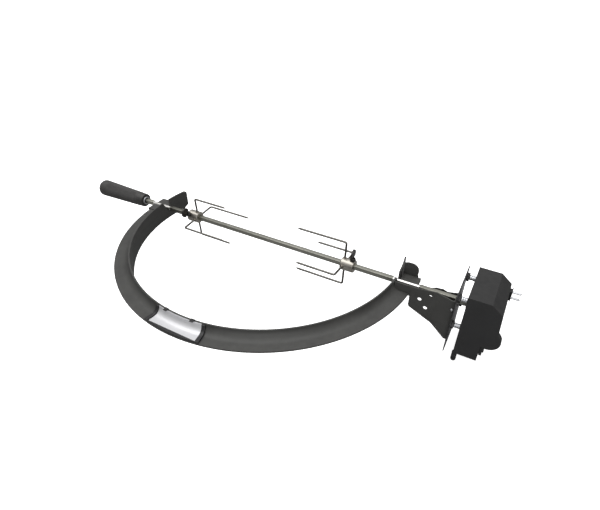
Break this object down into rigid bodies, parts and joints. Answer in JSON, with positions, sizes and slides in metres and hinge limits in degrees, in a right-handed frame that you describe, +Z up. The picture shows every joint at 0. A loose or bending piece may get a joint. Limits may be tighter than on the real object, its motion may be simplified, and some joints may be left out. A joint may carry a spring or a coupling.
{
  "type": "grill rotisserie kit",
  "caption": "Half ring for a round charcoal grill with a motor-driven square spit, two sliding meat forks, a grip, a heat shield and a boxed gear motor.",
  "frame": {"origin": "centre of the half ring, on the spit's axis", "axes": "+X along the spit towards the motor, +Y towards the back of the grill, +Z up"},
  "size_m": [0.8751, 0.3318, 0.1366],
  "materials": {
    "ring_paint": "satin black powder coat",
    "stainless": "drawn stainless bar",
    "zinc": "zinc plated",
    "nameplate_metal": "fine brushed, pale",
    "black_steel": "black oxide and black paint",
    "motor_plastic": "fine spark-textured black",
    "grip_plastic": "ribbed heat-proof black",
    "switch_plastic": "smooth black",
    "nylon": "moulded natural nylon",
    "copper": "enamelled winding wire",
    "laminations": "stacked sheet edges"
  },
  "bodies": {
    "ring_and_motor": {"half_ring": "ring_paint", "nameplate": "nameplate_metal", "nameplate_frame": "black_steel", "nameplate_clip_left": "black_steel", "nameplate_clip_right": "black_steel", "left_saddle": "ring_paint", "right_saddle": "ring_paint", "right_end_plate": "ring_paint", "right_rear_ear": "ring_paint", "bracket_front_plate": "ring_paint", "bracket_rear_plate": "ring_paint", "bracket_screw_front_upper": "zinc", "bracket_screw_front_lower": "zinc", "bracket_screw_rear": "zinc", "bracket_lip_screw": "zinc", "heat_shield": "zinc", "shield_nut_front_upper": "black_steel", "shield_nut_front_lower": "black_steel", "shield_nut_rear_upper": "black_steel", "shield_nut_rear_lower": "black_steel", "motor_spacer_front_upper": "zinc", "motor_spacer_front_lower": "zinc", "motor_spacer_rear_upper": "zinc", "motor_spacer_rear_lower": "zinc", "motor_housing": "motor_plastic", "motor_base_plate": "black_steel", "locating_peg": "black_steel", "mains_inlet": "switch_plastic", "inlet_pin_lower": "zinc", "inlet_pin_upper": "zinc", "switch_bezel": "motor_plastic", "gearbox_plate": "zinc", "stator_core": "laminations", "stator_coil": "copper", "idler_axle": "stainless"},
    "spit": {"spit_rod": "stainless", "spit_grip": "grip_plastic", "grip_ferrule": "zinc"},
    "left_fork": {"left_fork_hub": "stainless", "left_tine_top": "stainless", "left_tine_front": "stainless", "left_tine_bottom": "stainless", "left_tine_rear": "stainless"},
    "right_fork": {"right_fork_hub": "stainless", "right_tine_top": "stainless", "right_tine_front": "stainless", "right_tine_bottom": "stainless", "right_tine_rear": "stainless"},
    "left_fork_screw": {"left_thumb_screw": "zinc"},
    "right_fork_screw": {"right_thumb_screw": "zinc"},
    "output_drive": {"drive_socket": "stainless", "output_gear": "nylon"},
    "idler": {"idler_gear": "nylon"},
    "rotor": {"motor_rotor": "laminations"},
    "rocker": {"switch_rocker": "switch_plastic"}
  },
  "joints": [
    {"name": "spit_spin", "type": "hinge", "parent": "ring_and_motor", "child": "spit", "pos_m": [0, 0, 0], "axis": [1, 0, 0], "continuous": true},
    {"name": "output_spin", "type": "hinge", "parent": "ring_and_motor", "child": "output_drive", "pos_m": [0.372, 0, 0], "axis": [1, 0, 0], "continuous": true},
    {"name": "idler_spin", "type": "hinge", "parent": "ring_and_motor", "child": "idler", "pos_m": [0.376, 0, -0.03], "axis": [1, 0, 0], "continuous": true},
    {"name": "rotor_spin", "type": "hinge", "parent": "ring_and_motor", "child": "rotor", "pos_m": [0.39, 0.008, -0.04833], "axis": [1, 0, 0], "continuous": true},
    {"name": "left_fork_slide", "type": "slide", "parent": "spit", "child": "left_fork", "axis": [1, 0, 0], "range_m": [-0.045, 0.04]},
    {"name": "right_fork_slide", "type": "slide", "parent": "spit", "child": "right_fork", "axis": [1, 0, 0], "range_m": [-0.09, 0.06]},
    {"name": "left_screw_turn", "type": "hinge", "parent": "left_fork", "child": "left_fork_screw", "pos_m": [-0.1854, -0.00933, 0.00755], "axis": [0, -0.7771, 0.6293], "range_deg": [0, 720]},
    {"name": "right_screw_turn", "type": "hinge", "parent": "right_fork", "child": "right_fork_screw", "pos_m": [0.1685, 0, 0.012], "axis": [0, 0, 1], "range_deg": [0, 720]},
    {"name": "switch_rock", "type": "hinge", "parent": "ring_and_motor", "child": "rocker", "pos_m": [0.4026, -0.03, -0.053], "axis": [0, 1, 0], "range_deg": [0, 12]}
  ],
  "couplings": [
    {"joint": "output_spin", "follows": "spit_spin", "ratio": 1},
    {"joint": "idler_spin", "follows": "spit_spin", "ratio": -4},
    {"joint": "rotor_spin", "follows": "spit_spin", "ratio": 16}
  ]
}
